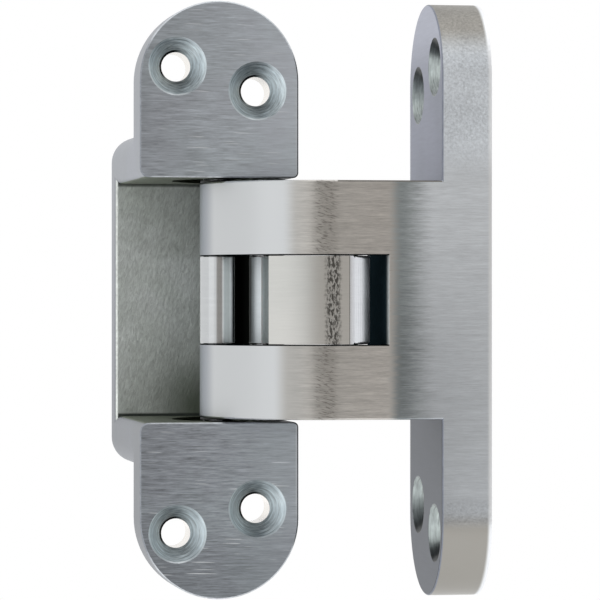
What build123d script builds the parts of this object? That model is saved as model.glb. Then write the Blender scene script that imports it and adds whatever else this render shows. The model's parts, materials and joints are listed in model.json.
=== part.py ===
from build123d import *
from math import acos, atan, degrees, hypot
import os

os.makedirs("parts", exist_ok=True)

# Concealed door hinge, drawn open at a right angle. The frame leaf faces -Y and the door leaf faces -X.
# The origin is the middle of the frame leaf's face, and +Z is up, along the hinge.

# How near an edge lies to the place that picks it out
near = 1e-3

# Leaves, both with the rounded ends that a router template cuts
leaf_length = 112.0
leaf_width = 30.0
leaf_thickness = 9.5
leaf_edge = 0.25

# Countersunk screw holes, two staggered pairs in each leaf
screw_hole_diameter = 5.5
countersink_diameter = 11.0
countersink_angle = 90.0
outer_screw_height = 43.7
outer_screw_inset = 7.1
inner_screw_height = 39.2
inner_screw_inset = 7.8

# Cup behind the frame leaf, with a channel that is open at the front and on one side
channel_height = 45.8
block_thickness = 9.3
cup_depth = 45.5
cup_corner = 5.0
cup_back_edge = 0.8
channel_corner = 1.7
side_wall_corner = 1.0
floor_thickness = 6.1
floor_lip = 0.7
side_wall = 2.7
side_wall_start = 16.0
side_wall_root = 2.0

# Door leaf's place when open, and the gap between the leaves when the door is shut
door_reach = 40.0
door_lead = 12.0
closed_gap = 4.0
extra_opening = 10.0

# Bent fork that is cast in one with the door leaf
fork_clearance = 0.7
fork_radius = 22.5
fork_straight = 19.7
finger_thickness = 6.8
window_height = 16.7
window_root = 10.0
root_thickness = 23.0
root_fillet = 3.0
root_corner = 1.5
fork_edge = 0.25

# Centre link between the fingers
link_clearance = 0.3
link_pin_reach = 17.4
link_pin_inset = 4.5
frame_pin_set_back = 8.4
nose_angle = 33.4
flank_hollow = 3.0

# Pins and their fits
frame_pin_diameter = 3.5
door_pin_diameter = 4.5
guide_pin_diameter = 3.5
pin_recess = 0.3
running_gap = 0.03
seat_gap = 0.01
end_play = 0.1

# Flanged bushes pressed into both ends of the link's two eyes
bush_wall = 0.6
bush_length = 6.0
flange_overhang = 0.5
flange_thickness = 0.8
flange_stand = 0.2
frame_eye_wall = 0.92

# Guide sleeve, rollers and glide washers on the pin at the finger tips
sleeve_gap = 0.1
glide_thickness = 0.5
glide_rim = 0.1
roller_diameter = 5.6
roller_height = 4.7
groove_play = 0.2
groove_floor_gap = 0.3
groove_arcs = 5

# Places in plan, from the driving sizes
fork_front = -door_lead
door_back = door_reach + leaf_thickness
door_middle = leaf_width / 2 - door_lead
fork_centre = Vector(door_reach - fork_straight, fork_radius + fork_front)
tip_radius = finger_thickness / 2
guide_axis = fork_centre - Vector(fork_radius - tip_radius, 0)
door_axis = Vector(door_reach - link_pin_reach, fork_front + link_pin_inset)
door_eye_radius = link_pin_inset
frame_bush_radius = frame_pin_diameter / 2 + running_gap + bush_wall
door_bush_radius = door_pin_diameter / 2 + running_gap + bush_wall
frame_eye_radius = frame_bush_radius + frame_eye_wall

# The shut door is the open one turned a quarter turn clockwise and moved
closing_turn = 90.0
shut_move = Vector(door_lead - leaf_width / 2, door_reach - closed_gap)
door_axis_shut = door_axis.rotate(Axis.Z, -closing_turn) + shut_move
chord = door_axis_shut - door_axis
half_chord = chord.length / 2
away = chord.rotate(Axis.Z, -90).normalized()
frame_axis = (door_axis + door_axis_shut) * 0.5 + away * frame_pin_set_back
link_span = hypot(half_chord, frame_pin_set_back)
link_swing = 2 * degrees(atan(half_chord / frame_pin_set_back))
door_per_link = closing_turn / link_swing


def guide_axis_at(door_angle):
    # The finger tips' axis when the door has turned by this angle from its place at a right angle
    link_arm = (door_axis - frame_axis).rotate(Axis.Z, door_angle / door_per_link)
    door_arm = (guide_axis - door_axis).rotate(Axis.Z, door_angle)
    return frame_axis + link_arm + door_arm


def turned_piece(name, axis, half_section):
    # A turned piece on a pin's axis, from its half section as radius and height pairs
    section_plane = Plane(origin=(axis.X, axis.Y, 0), x_dir=(1, 0, 0), z_dir=(0, -1, 0))
    with BuildPart() as piece:
        with BuildSketch(section_plane):
            with BuildLine():
                Polyline(*half_section, close=True)
            make_face()
        revolve(axis=Axis((axis.X, axis.Y, 0), (0, 0, 1)))
    piece.part.label = name
    export_step(piece.part, f"parts/{name}.step")


def pin(name, axis, diameter, half_length):
    # A straight pin, as long below the middle as above it
    radius = diameter / 2
    section = [(0, -half_length), (radius, -half_length), (radius, half_length), (0, half_length)]
    turned_piece(name, axis, section)


def ring(name, axis, inner_radius, outer_radius, low, high):
    # A plain ring between two heights
    section = [(inner_radius, low), (outer_radius, low), (outer_radius, high), (inner_radius, high)]
    turned_piece(name, axis, section)


channel_floor = cup_depth - floor_thickness
channel_half = channel_height / 2
cup_half = channel_half + block_thickness
fork_half = channel_half - fork_clearance
window_half = window_height / 2
link_half = window_half - link_clearance
roller_low = fork_half + glide_thickness + end_play
roller_high = roller_low + roller_height
groove_depth = roller_high + groove_floor_gap - channel_half
outer_screw_x = outer_screw_inset - leaf_width / 2
inner_screw_x = leaf_width / 2 - inner_screw_inset

# Frame body: the end plates and the cup, one casting
with BuildPart() as frame_body:
    with BuildSketch(Plane.XZ):
        SlotOverall(leaf_length, leaf_width, rotation=90)
    extrude(amount=-leaf_thickness)
    with BuildSketch(Plane.XZ):
        RectangleRounded(leaf_width, 2 * cup_half, cup_corner)
    extrude(amount=-cup_depth)
    back_rim = frame_body.faces().sort_by(Axis.Y)[-1].edges()
    chamfer(back_rim, cup_back_edge)
    # Channel for the folding arms
    with BuildSketch(Plane.XY.offset(-channel_half)):
        with BuildLine():
            Polyline(
                (-leaf_width, -leaf_thickness),
                (leaf_width, -leaf_thickness),
                (leaf_width, side_wall_start),
                (leaf_width / 2 - side_wall, side_wall_start),
                (leaf_width / 2 - side_wall, channel_floor),
                (-leaf_width, channel_floor),
                close=True,
            )
        make_face()
        inner_corner = vertices().group_by(Axis.Y)[-1].sort_by(Axis.X)[-1]
        fillet(inner_corner, side_wall_root)
    extrude(amount=channel_height, mode=Mode.SUBTRACT)
    for side, corner in ((-1, channel_corner), (1, side_wall_corner)):
        mouth_edges = frame_body.edges().filter_by(Axis.Y).filter_by(
            lambda e: abs(abs(e.center().Z) - channel_half) < near
            and abs(e.center().X - side * leaf_width / 2) < near
        )
        fillet(mouth_edges, corner)
    lip_edge = frame_body.edges().filter_by(Axis.Z).filter_by(
        lambda e: abs(e.center().X + leaf_width / 2) < near
        and abs(e.center().Y - channel_floor) < near
    )
    fillet(lip_edge, floor_lip)
    face_rims = frame_body.faces().filter_by(Axis.Y).group_by(Axis.Y)[0].edges()
    chamfer(face_rims, leaf_edge)
    # Screw holes
    with Locations(Plane.XZ):
        with Locations(
            (outer_screw_x, outer_screw_height),
            (outer_screw_x, -outer_screw_height),
            (inner_screw_x, inner_screw_height),
            (inner_screw_x, -inner_screw_height),
        ):
            CounterSinkHole(
                screw_hole_diameter / 2,
                countersink_diameter / 2,
                depth=leaf_thickness + leaf_edge,
                counter_sink_angle=countersink_angle,
            )
    # Bore for the frame pin through both blocks
    with Locations((frame_axis.X, frame_axis.Y, 0)):
        Cylinder(frame_pin_diameter / 2 + seat_gap, 2 * cup_half, mode=Mode.SUBTRACT)
    # Guide grooves, cut along the finger tips' path as a run of tangent arcs
    arc_turn = (closing_turn + extra_opening) / groove_arcs
    stations = [guide_axis_at(extra_opening - arc_turn * step) for step in range(groove_arcs + 1)]
    for side in (1, -1):
        with BuildSketch(Plane.XY.offset(side * channel_half)):
            with BuildLine() as groove_line:
                arc = ThreePointArc(stations[0], guide_axis_at(extra_opening - arc_turn / 2), stations[1])
                for station in stations[2:]:
                    arc = TangentArc(arc @ 1, station, tangent=arc % 1)
            trace(groove_line.line, roller_diameter + 2 * groove_play)
            with Locations(stations[0], stations[-1]):
                Circle(roller_diameter / 2 + groove_play)
        extrude(amount=side * groove_depth, mode=Mode.SUBTRACT)
frame_body.part.label = "frame_body"
export_step(frame_body.part, "parts/frame_body.step")

# Door leaf with its fork, one casting
bend_start = Vector(fork_centre.X, fork_front)
outer_tip = fork_centre - Vector(fork_radius, 0)
inner_tip = outer_tip + Vector(finger_thickness, 0)
inner_bend = bend_start + Vector(0, finger_thickness)
root_face = door_reach - window_root
root_back = fork_front + root_thickness
with BuildPart() as door_leaf:
    # Fork in plan: two fingers that bend round the jamb's edge, and the root that carries them
    with BuildSketch(Plane.XY.offset(-fork_half)):
        with BuildLine():
            Line((door_back, fork_front), bend_start)
            RadiusArc(bend_start, outer_tip, fork_radius)
            ThreePointArc(outer_tip, guide_axis + Vector(0, tip_radius), inner_tip)
            RadiusArc(inner_tip, inner_bend, finger_thickness - fork_radius)
            Polyline(
                inner_bend,
                (root_face, inner_bend.Y),
                (root_face, root_back),
                (door_back, root_back),
                (door_back, fork_front),
            )
        make_face()
        fillet(vertices().filter_by(lambda v: abs(v.X - root_face) < near), root_corner)
        with Locations(door_axis):
            Circle(door_eye_radius)
    extrude(amount=2 * fork_half)
    outer_rims = door_leaf.faces().filter_by(Axis.Z).edges().filter_by(
        lambda e: abs((e @ 0.5 - Vector(0, 0, (e @ 0.5).Z) - fork_centre).length - fork_radius) < near
        or abs((e @ 0.5).Y - fork_front) < near
    )
    chamfer(outer_rims, fork_edge)
    # Window for the link
    with BuildSketch(Plane.XY.offset(-window_half)):
        with Locations((root_face, fork_centre.Y)):
            Rectangle(2 * fork_radius, 4 * fork_radius, align=(Align.MAX, Align.CENTER))
    extrude(amount=window_height, mode=Mode.SUBTRACT)
    # Leaf round the fork's root, with the rim of its face softened
    with BuildSketch(Plane.YZ.offset(door_reach)):
        with Locations((door_middle, 0)):
            SlotOverall(leaf_length, leaf_width, rotation=90)
    leaf_block = extrude(amount=leaf_thickness, mode=Mode.PRIVATE)
    face_rim = leaf_block.faces().sort_by(Axis.X)[0].edges()
    add(leaf_block.chamfer(leaf_edge, None, face_rim))
    root_edge = door_leaf.edges().filter_by(Axis.Z).filter_by(
        lambda e: abs(e.center().X - door_reach) < near and abs(e.center().Y - root_back) < near
    )
    fillet(root_edge, root_fillet)
    # Screw holes, countersunk from the face that looks at the frame leaf
    with Locations(Plane(origin=(door_reach, door_middle, 0), x_dir=(0, 1, 0), z_dir=(-1, 0, 0))):
        with Locations(
            (outer_screw_x, outer_screw_height),
            (outer_screw_x, -outer_screw_height),
            (inner_screw_x, inner_screw_height),
            (inner_screw_x, -inner_screw_height),
        ):
            CounterSinkHole(
                screw_hole_diameter / 2,
                countersink_diameter / 2,
                depth=leaf_thickness + leaf_edge,
                counter_sink_angle=countersink_angle,
            )
    # Bores for the two pins that the fingers hold
    with Locations(door_axis):
        Cylinder(door_pin_diameter / 2 + seat_gap, 2 * fork_half, mode=Mode.SUBTRACT)
    with Locations(guide_axis):
        Cylinder(guide_pin_diameter / 2 + seat_gap, 2 * fork_half, mode=Mode.SUBTRACT)
door_leaf.part.label = "door_leaf"
export_step(door_leaf.part, "parts/door_leaf.step")

# Centre link: two eyes joined by a web, with an outer face that follows the fork's bend to a sharp nose
link_direction = (door_axis - frame_axis).normalized()
back_normal = link_direction.rotate(Axis.Z, degrees(acos((frame_eye_radius - door_eye_radius) / link_span)))
nose = fork_centre + Vector(0, -fork_radius).rotate(Axis.Z, -nose_angle)
nose_to_eye = frame_axis - nose
flank_turn = degrees(acos(frame_eye_radius / nose_to_eye.length))
flank_end = frame_axis - nose_to_eye.normalized().rotate(Axis.Z, -flank_turn) * frame_eye_radius
flank = nose - flank_end
flank_inward = flank.rotate(Axis.Z, 90).normalized()
beyond_nose = nose + flank.normalized() * fork_radius / 2
with BuildPart() as centre_link:
    with BuildSketch(Plane.XY.offset(-link_half)):
        with BuildLine():
            Polyline(
                frame_axis,
                frame_axis + back_normal * frame_eye_radius,
                door_axis + back_normal * door_eye_radius,
                door_axis,
                (door_axis.X, beyond_nose.Y),
                beyond_nose,
                flank_end,
                close=True,
            )
        make_face()
        with Locations(frame_axis):
            Circle(frame_eye_radius)
        with Locations(door_axis):
            Circle(door_eye_radius)
        # Hollow flank between the nose and the frame eye
        with BuildLine():
            hollow_middle = flank_end + flank * 0.5 + flank_inward * flank_hollow
            ThreePointArc(flank_end, hollow_middle, nose)
            Polyline(nose, beyond_nose, beyond_nose - flank_inward * fork_radius / 2, flank_end)
        make_face(mode=Mode.SUBTRACT)
        with Locations(frame_axis):
            Circle(frame_eye_radius)
        # Outer face, the same as the fork's
        with BuildLine():
            RadiusArc(bend_start, outer_tip, fork_radius)
            Polyline(
                outer_tip,
                (outer_tip.X, door_reach),
                (door_back, door_reach),
                (door_back, fork_front),
                bend_start,
            )
        make_face(mode=Mode.INTERSECT)
    extrude(amount=2 * link_half)
    # Bores and flange seats for the bushes
    for axis, bush_radius in ((frame_axis, frame_bush_radius), (door_axis, door_bush_radius)):
        for side in (1, -1):
            with Locations(Plane(origin=(axis.X, axis.Y, side * link_half), z_dir=(0, 0, side))):
                CounterBoreHole(
                    bush_radius + seat_gap,
                    bush_radius + flange_overhang + seat_gap,
                    flange_thickness - flange_stand,
                    depth=link_half,
                )
centre_link.part.label = "centre_link"
export_step(centre_link.part, "parts/centre_link.step")

# Pins
pin("frame_pin", frame_axis, frame_pin_diameter, cup_half - pin_recess)
pin("door_pin", door_axis, door_pin_diameter, fork_half - pin_recess)
pin("guide_pin", guide_axis, guide_pin_diameter, roller_high + end_play)

# Sleeve between the finger tips, flush with their rounded ends
sleeve_half = window_half - sleeve_gap
ring("guide_sleeve", guide_axis, guide_pin_diameter / 2 + seat_gap, tip_radius, -sleeve_half, sleeve_half)

# Pieces that come in pairs, above and below the link
flange_face = link_half + flange_stand
for level, side in (("upper", 1), ("lower", -1)):
    for eye, axis, pin_diameter, bush_radius in (
        ("frame", frame_axis, frame_pin_diameter, frame_bush_radius),
        ("door", door_axis, door_pin_diameter, door_bush_radius),
    ):
        bore_radius = pin_diameter / 2 + running_gap
        flange_radius = bush_radius + flange_overhang
        turned_piece(
            f"{eye}_bush_{level}",
            axis,
            [
                (bore_radius, side * flange_face),
                (flange_radius, side * flange_face),
                (flange_radius, side * (flange_face - flange_thickness)),
                (bush_radius, side * (flange_face - flange_thickness)),
                (bush_radius, side * (flange_face - bush_length)),
                (bore_radius, side * (flange_face - bush_length)),
            ],
        )
    ring(
        f"frame_spacer_{level}",
        frame_axis,
        frame_pin_diameter / 2 + seat_gap,
        frame_eye_radius,
        side * (flange_face + end_play),
        side * channel_half,
    )
    ring(
        f"glide_washer_{level}",
        guide_axis,
        guide_pin_diameter / 2 + seat_gap,
        tip_radius - glide_rim,
        side * fork_half,
        side * (fork_half + glide_thickness),
    )
    ring(
        f"guide_roller_{level}",
        guide_axis,
        guide_pin_diameter / 2 + running_gap,
        roller_diameter / 2,
        side * roller_low,
        side * roller_high,
    )

# Pivot places and turns
print(f"frame pin at {frame_axis.X:.4f}, {frame_axis.Y:.4f}")
print(f"door pin at {door_axis.X:.4f}, {door_axis.Y:.4f}")
print(f"guide pin at {guide_axis.X:.4f}, {guide_axis.Y:.4f}")
print(f"link swings {link_swing:.4f} degrees to shut, door per link {door_per_link:.6f}")
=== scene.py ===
import json
from math import cos, pi, radians, sin

import bmesh
import bpy
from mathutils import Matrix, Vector


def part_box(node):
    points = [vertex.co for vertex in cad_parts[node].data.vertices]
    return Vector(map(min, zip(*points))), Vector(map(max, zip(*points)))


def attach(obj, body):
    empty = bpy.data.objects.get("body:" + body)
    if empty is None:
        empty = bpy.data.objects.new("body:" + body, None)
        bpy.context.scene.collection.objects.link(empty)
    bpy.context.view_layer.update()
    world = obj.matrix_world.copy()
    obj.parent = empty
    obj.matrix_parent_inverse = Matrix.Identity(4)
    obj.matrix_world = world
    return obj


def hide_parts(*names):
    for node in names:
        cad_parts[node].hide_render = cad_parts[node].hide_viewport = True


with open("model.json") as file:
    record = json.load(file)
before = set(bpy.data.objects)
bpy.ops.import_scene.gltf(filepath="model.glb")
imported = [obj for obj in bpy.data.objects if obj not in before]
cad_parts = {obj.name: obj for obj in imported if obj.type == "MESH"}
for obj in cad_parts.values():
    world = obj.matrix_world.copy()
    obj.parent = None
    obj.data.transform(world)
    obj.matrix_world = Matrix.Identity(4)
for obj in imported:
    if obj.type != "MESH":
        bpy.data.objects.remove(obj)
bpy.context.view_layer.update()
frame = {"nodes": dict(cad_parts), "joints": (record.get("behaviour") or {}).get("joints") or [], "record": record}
mm = 0.001


def linear(red, green, blue):
    # A colour as seen on screen, 0 to 255, turned into the renderer's linear values
    parts = [value / 255 for value in (red, green, blue)]
    parts = [p / 12.92 if p <= 0.04045 else ((p + 0.055) / 1.055) ** 2.4 for p in parts]
    return (*parts, 1.0)


# Places that several pieces share, read from the frame
leafLow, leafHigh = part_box("frame_body")
doorLow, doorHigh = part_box("door_leaf")
sleeveLow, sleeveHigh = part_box("guide_sleeve")
jointPlaces = {joint["child"]: Vector(joint["pos_m"]) for joint in frame["joints"]}
frameEye = jointPlaces["link"]
doorEye = jointPlaces["door"]
tipAxis = (sleeveLow + sleeveHigh) / 2
bendRadius = tipAxis.y - doorLow.y
bendCentre = Vector((doorLow.x + bendRadius, tipAxis.y))
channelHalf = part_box("frame_spacer_upper")[1].z
backWall = 6.1 * mm
channelFloor = leafHigh.y - backWall


# Camera, room, floor and lights
cameraSetup = dict(
    place=Vector((-98.09, -657.99, 0)) * mm,
    turn=radians(-9.775),
    lens=213.31,
    sensor=36,
)
studio = dict(
    tent=(0.95, 0.96, 0.97, 1),  # white tent round the hinge
    slot=(0.41, 0.39, 0.37, 1),  # darker upright opening that the photographer stands in
    slotMiddle=radians(4),  # all angles from straight ahead of the frame leaf, to the right
    slotInside=radians(14),
    slotOutside=radians(27),
    slotTop=0.55,  # how far up and down the opening reaches, as the sine of the slope
    slotFade=0.8,
    shine=0.5,  # how much of the camera's white background metal shows away from the opening
    floorDrop=90 * mm,
    floorRadius=350 * mm,
    floorColour=(0.85, 0.85, 0.85, 1),
    floorRoughness=0.9,
    floorLift=0.25,
)
softboxes = {
    "left": dict(place=(-0.55, -0.45, 0.25), size=(0.5, 0.6), radiance=0.2, tint=(0.97, 0.98, 1)),
    "top": dict(place=(0.05, -0.1, 0.6), size=(0.6, 0.5), radiance=0.35, tint=(1, 1, 1)),
}


def addObject(name, data):
    added = bpy.data.objects.new(name, data)
    bpy.context.scene.collection.objects.link(added)
    return added


def addCamera(setup):
    camera = addObject("camera", bpy.data.cameras.new("camera"))
    camera.location = setup["place"]
    camera.rotation_euler = (radians(90), 0, setup["turn"])
    camera.data.lens = setup["lens"]
    camera.data.sensor_width = setup["sensor"]
    camera.data.clip_start = 0.01
    bpy.context.scene.camera = camera


def fill(node, inputs):
    # Sets a node's inputs to values, or joins them to the outputs of other nodes
    for key, value in inputs.items():
        if isinstance(value, bpy.types.NodeSocket):
            node.id_data.links.new(value, node.inputs[key])
        else:
            node.inputs[key].default_value = value


def addNode(tree, kind, inputs=None, **options):
    node = tree.nodes.new(kind)
    for key, value in options.items():
        setattr(node, key, value)
    fill(node, inputs or {})
    return node


def treeOf(*values):
    # The tree that holds the first of these values that is a node's output
    return next(value.id_data for value in values if isinstance(value, bpy.types.NodeSocket))


def calc(operation, *values):
    return addNode(treeOf(*values), "ShaderNodeMath", dict(enumerate(values)), operation=operation).outputs[0]


def plus(first, second):
    return calc("ADD", first, second)


def minus(first, second):
    return calc("SUBTRACT", first, second)


def times(first, *others):
    for other in others:
        first = calc("MULTIPLY", first, other)
    return first


def vectorCalc(operation, *values):
    node = addNode(treeOf(*values), "ShaderNodeVectorMath", dict(enumerate(values)), operation=operation)
    return node.outputs["Value" if operation in ("LENGTH", "DOT_PRODUCT") else "Vector"]


def stretched(vector, scale):
    return vectorCalc("MULTIPLY", vector, scale)


def parted(vector):
    return addNode(vector.id_data, "ShaderNodeSeparateXYZ", {0: vector}).outputs


def joined(x=0.0, y=0.0, z=0.0):
    return addNode(treeOf(x, y, z), "ShaderNodeCombineXYZ", {0: x, 1: y, 2: z}).outputs[0]


def fade(value, start, end, low=0.0, high=1.0, kind="SMOOTHSTEP"):
    sockets = {"Value": value, "From Min": start, "From Max": end, "To Min": low, "To Max": high}
    return addNode(value.id_data, "ShaderNodeMapRange", sockets, interpolation_type=kind).outputs["Result"]


def mixColour(factor, first, second, way="MIX"):
    sockets = {0: factor, 6: first, 7: second}
    node = addNode(treeOf(*sockets.values()), "ShaderNodeMix", sockets, data_type="RGBA", blend_type=way)
    return node.outputs[2]


def dimmed(colour, level):
    # The colour times a level, below 1 for darker and above it for lighter
    grey = addNode(level.id_data, "ShaderNodeCombineColor", {0: level, 1: level, 2: level}).outputs[0]
    return mixColour(1.0, colour, grey, "MULTIPLY")


def noise(place, scale=1.0, detail=2.0, roughness=0.5, distortion=0.0):
    labels = ("Vector", "Scale", "Detail", "Roughness", "Distortion")
    sockets = dict(zip(labels, (place, scale, detail, roughness, distortion)))
    return addNode(place.id_data, "ShaderNodeTexNoise", sockets).outputs["Fac"]


def objectPlace(tree):
    return addNode(tree, "ShaderNodeTexCoord").outputs["Object"]


def objectParts(tree):
    return parted(objectPlace(tree))


def addWorld(setup):
    world = bpy.data.worlds.new("studio")
    bpy.context.scene.world = world
    world.use_nodes = True
    tree = world.node_tree
    rays = addNode(tree, "ShaderNodeLightPath").outputs
    direction = parted(addNode(tree, "ShaderNodeTexCoord").outputs["Generated"])
    turn = calc("ARCTAN2", direction["X"], times(direction["Y"], -1.0))
    aside = calc("ABSOLUTE", minus(turn, setup["slotMiddle"]))
    across = fade(aside, setup["slotInside"], setup["slotOutside"], 1.0, 0.0)
    upright = fade(calc("ABSOLUTE", direction["Z"]), setup["slotTop"], setup["slotFade"], 1.0, 0.0)
    inSlot = times(across, upright)
    seen = calc("MAXIMUM", rays["Is Camera Ray"], rays["Is Transmission Ray"])
    shiny = times(rays["Is Glossy Ray"], minus(1.0, inSlot))
    seen = calc("MAXIMUM", seen, times(shiny, setup["shine"]))
    room = mixColour(inSlot, setup["tent"], setup["slot"])
    fill(tree.nodes["Background"], {"Color": mixColour(seen, room, (1, 1, 1, 1))})


def addFloor(setup):
    mesh = bpy.data.meshes.new("floor")
    shape = bmesh.new()
    bmesh.ops.create_circle(shape, cap_ends=True, segments=96, radius=setup["floorRadius"])
    bmesh.ops.translate(shape, verts=shape.verts, vec=(0, 0, -setup["floorDrop"]))
    shape.to_mesh(mesh)
    shape.free()
    floor = addObject("floor", mesh)
    material = bpy.data.materials.new("floor")
    material.use_nodes = True
    tree = material.node_tree
    surface = tree.nodes["Principled BSDF"]
    fill(surface, {"Base Color": setup["floorColour"], "Roughness": setup["floorRoughness"]})
    rays = addNode(tree, "ShaderNodeLightPath").outputs
    seen = calc("MAXIMUM", rays["Is Camera Ray"], rays["Is Glossy Ray"])
    seen = calc("MAXIMUM", seen, rays["Is Transmission Ray"])
    lift = addNode(tree, "ShaderNodeEmission", {"Strength": times(seen, setup["floorLift"])})
    both = addNode(tree, "ShaderNodeAddShader", {0: surface.outputs[0], 1: lift.outputs[0]})
    fill(tree.nodes["Material Output"], {"Surface": both.outputs[0]})
    mesh.materials.append(material)


def addSoftbox(name, setup):
    # A softbox that faces the middle of the scene
    lamp = bpy.data.lights.new(name, "AREA")
    lamp.shape = "RECTANGLE"
    lamp.size, lamp.size_y = setup["size"]
    lamp.energy = setup["radiance"] * pi * lamp.size * lamp.size_y
    lamp.color = setup["tint"]
    softbox = addObject(name, lamp)
    softbox.location = setup["place"]
    softbox.rotation_euler = (-softbox.location).to_track_quat("-Z", "Y").to_euler()
    softbox.visible_camera = False


bpy.context.scene.view_settings.view_transform = "Standard"
addCamera(cameraSetup)
addWorld(studio)
addFloor(studio)
for softboxName, softboxSetup in softboxes.items():
    addSoftbox(softboxName, softboxSetup)
print("stage: camera, room, floor and softboxes")


# Shader groups that several finishes share
def makeGroup(build, inputs):
    # A group with the name of build, which makes its outputs from its inputs
    group = bpy.data.node_groups.new(build.__name__, "ShaderNodeTree")
    for label, value in inputs.items():
        kind = {3: "Vector", 4: "Color"}[len(value)] if isinstance(value, tuple) else "Float"
        socket = group.interface.new_socket(label, in_out="INPUT", socket_type="NodeSocket" + kind)
        socket.default_value = value
    results = build(group, group.nodes.new("NodeGroupInput").outputs)
    for label, value in results.items():
        kind = {"VECTOR": "Vector", "RGBA": "Color", "VALUE": "Float"}[value.type]
        group.interface.new_socket(label, in_out="OUTPUT", socket_type="NodeSocket" + kind)
    fill(group.nodes.new("NodeGroupOutput"), results)


def strokeGrain(group, given):
    # Fine parallel strokes of a belt or brush, and long thin scratches across them
    place = objectPlace(group)
    along = stretched(place, given["Stroke Scale"])
    broad = noise(stretched(along, (0.4, 0.4, 0.4)), detail=1)
    fine = noise(along, detail=3, roughness=0.75)
    tilted = vectorCalc("ADD", place, joined(z=times(parted(place)["X"], 0.03)))
    thin = noise(stretched(tilted, given["Scratch Scale"]), detail=0)
    scratch = fade(thin, given["Scratch Limit"], plus(given["Scratch Limit"], 0.05))
    return {
        "Tone": plus(times(broad, 0.3), times(fine, 0.7)),
        "Scratch": scratch,
        "Height": minus(fine, times(scratch, 0.4)),
    }


def castSkin(group, given):
    # The skin of a casting: short wavy strokes that lean to one side, and small dimples
    plain = objectPlace(group)
    leaning = vectorCalc("ADD", plain, joined(x=times(parted(plain)["Z"], given["Lean"])))
    place = stretched(leaning, given["Grain Scale"])
    wavy = noise(place, 1.0, 3, 0.6, given["Waviness"])
    patches = noise(plain, 160)
    sockets = {"Vector": place, "Scale": 0.8, "Smoothness": 1.0}
    cells = addNode(group, "ShaderNodeTexVoronoi", sockets, feature="SMOOTH_F1").outputs["Distance"]
    return {
        "Tone": plus(times(wavy, 0.75), times(patches, 0.25)),
        "Height": plus(wavy, times(cells, given["Dimples"])),
    }


def toolRings(group, given):
    # Cutter rings round two holes and their pair below, broken into arcs, with the two light and two
    # dark fans that such rings show, painted in as highlight and shade
    place = objectPlace(group)
    flip = joined(1.0, 1.0, calc("SIGN", parted(place)["Z"]))
    upper = stretched(place, flip)
    offsets = []
    for label in ("Centre A", "Centre B"):
        offsets.append(stretched(vectorCalc("SUBTRACT", upper, given[label]), given["Across"]))
    lengths = [vectorCalc("LENGTH", offset) for offset in offsets]
    sockets = {0: calc("LESS_THAN", *lengths), 4: offsets[1], 5: offsets[0]}
    nearest = addNode(group, "ShaderNodeMix", sockets, data_type="VECTOR").outputs[1]
    reach = calc("MINIMUM", *lengths)
    direction = vectorCalc("NORMALIZE", stretched(nearest, flip))
    parts = parted(direction)
    sideways = plus(parts["X"], parts["Y"])
    angle = calc("ARCTAN2", parts["Z"], sideways)
    around = joined(calc("DIVIDE", reach, given["Pitch"]), times(sideways, 1.3), times(parts["Z"], 1.3))
    shifted = vectorCalc("ADD", around, stretched(nearest, (0, 0, 90)))
    return {
        "Arcs": noise(shifted, detail=3, roughness=0.7),
        "Fans": calc("COSINE", times(minus(angle, given["Fan Angle"]), 2.0)),
        "Reach": reach,
        "Direction": direction,
    }


def chatterMarks(group, given):
    # A band of short slanted marks where the cutter trembled, one above the other
    place = objectPlace(group)
    sideways = parted(place)["X"]
    start, end = given["Band Start"], given["Band End"]
    middle = times(plus(start, end), 0.5)
    half = times(minus(end, start), 0.5)
    away = calc("DIVIDE", calc("ABSOLUTE", minus(sideways, middle)), half)
    rag = minus(noise(stretched(place, (0, 0, 1600))), 0.5)
    band = fade(plus(away, rag), 0.4, 1.1, 1.0, 0.0)
    slanted = vectorCalc("ADD", place, joined(z=times(sideways, given["Slant"])))
    marks = noise(stretched(slanted, given["Mark Scale"]), roughness=0.6, distortion=0.4)
    cut = fade(marks, given["Threshold"], plus(given["Threshold"], given["Softness"]))
    return {"Mask": times(band, cut), "Band": band}


def toneDrift(group, given):
    # Two tints of the same finish that drift into each other over a few centimetres
    drift = noise(objectPlace(group), given["Patch Scale"])
    return {"Colour": mixColour(fade(drift, 0.35, 0.65), given["First"], given["Second"])}


def paintedFalloff(group, given):
    # Painted shade and light: a finish made darker or lighter towards one side and towards the lower end, as the
    # light falls
    parts = objectParts(group)
    across = fade(parts["X"], given["Left"], given["Right"], kind="LINEAR")
    up = fade(parts["Z"], times(given["Middle"], -1.0), given["Middle"])
    rows = []
    for row in ("Lower", "Upper"):
        rows.append(fade(across, 0.0, 1.0, given[f"{row} Left"], given[f"{row} Right"], "LINEAR"))
    return {"Colour": dimmed(given["Colour"], fade(up, 0.0, 1.0, *rows, "LINEAR"))}


plainGrey = (0.5, 0.5, 0.5, 1)
corners = ("Upper Left", "Upper Right", "Lower Left", "Lower Right")
makeGroup(strokeGrain, {
    "Stroke Scale": (260, 5600, 5600),
    "Scratch Scale": (110, 4600, 4600),
    "Scratch Limit": 0.74,
})
makeGroup(castSkin, {"Grain Scale": (2400, 2400, 900), "Lean": 0.0, "Waviness": 0.5, "Dimples": 0.5})
makeGroup(toolRings, {
    "Centre A": (0, 0, 0),
    "Centre B": (0, 0, 0),
    "Across": (1, 0, 1),
    "Pitch": 0.2 * mm,
    "Fan Angle": 0.26,
})
makeGroup(chatterMarks, {
    "Band Start": 16.3 * mm,
    "Band End": 20.5 * mm,
    "Mark Scale": (1500, 0, 5000),
    "Slant": 0.35,
    "Threshold": 0.5,
    "Softness": 0.14,
})
makeGroup(toneDrift, {"First": plainGrey, "Second": plainGrey, "Patch Scale": 60.0})
makeGroup(paintedFalloff, {"Colour": plainGrey, **dict.fromkeys(("Left", "Right", "Middle", *corners), 1.0)})
print("stage: shader groups")


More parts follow.
